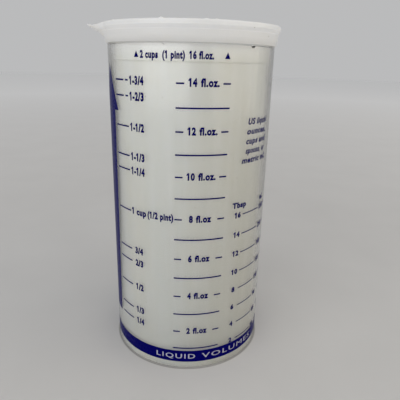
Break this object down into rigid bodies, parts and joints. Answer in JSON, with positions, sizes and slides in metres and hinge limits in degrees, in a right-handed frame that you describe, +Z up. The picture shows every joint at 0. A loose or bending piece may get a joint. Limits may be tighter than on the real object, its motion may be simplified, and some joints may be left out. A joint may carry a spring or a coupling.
{
  "type": "two-piece measuring cup",
  "caption": "Clear printed sleeve, open at both ends, with a translucent measuring cup with a flared rim and pour spout that slides in it.",
  "frame": {"origin": "middle of the cup's flat base, on the common axis of the sleeve and the cup, at table height", "axes": "+Z up along the common axis; the pour spout points towards -X; the printed front faces -Y"},
  "size_m": [0.0828, 0.0756, 0.1482],
  "materials": {
    "clear_plastic": "clear, glossy, lightly scuffed",
    "translucent_plastic": "natural translucent white, satin",
    "ink": "navy screen print"
  },
  "bodies": {
    "sleeve": {"outer_sleeve": "clear_plastic"},
    "cup": {"inner_cup": "translucent_plastic"}
  },
  "joints": [
    {"name": "cup_slide", "type": "slide", "parent": "sleeve", "child": "cup", "axis": [0, 0, 1], "range_m": [0, 0.15]}
  ]
}
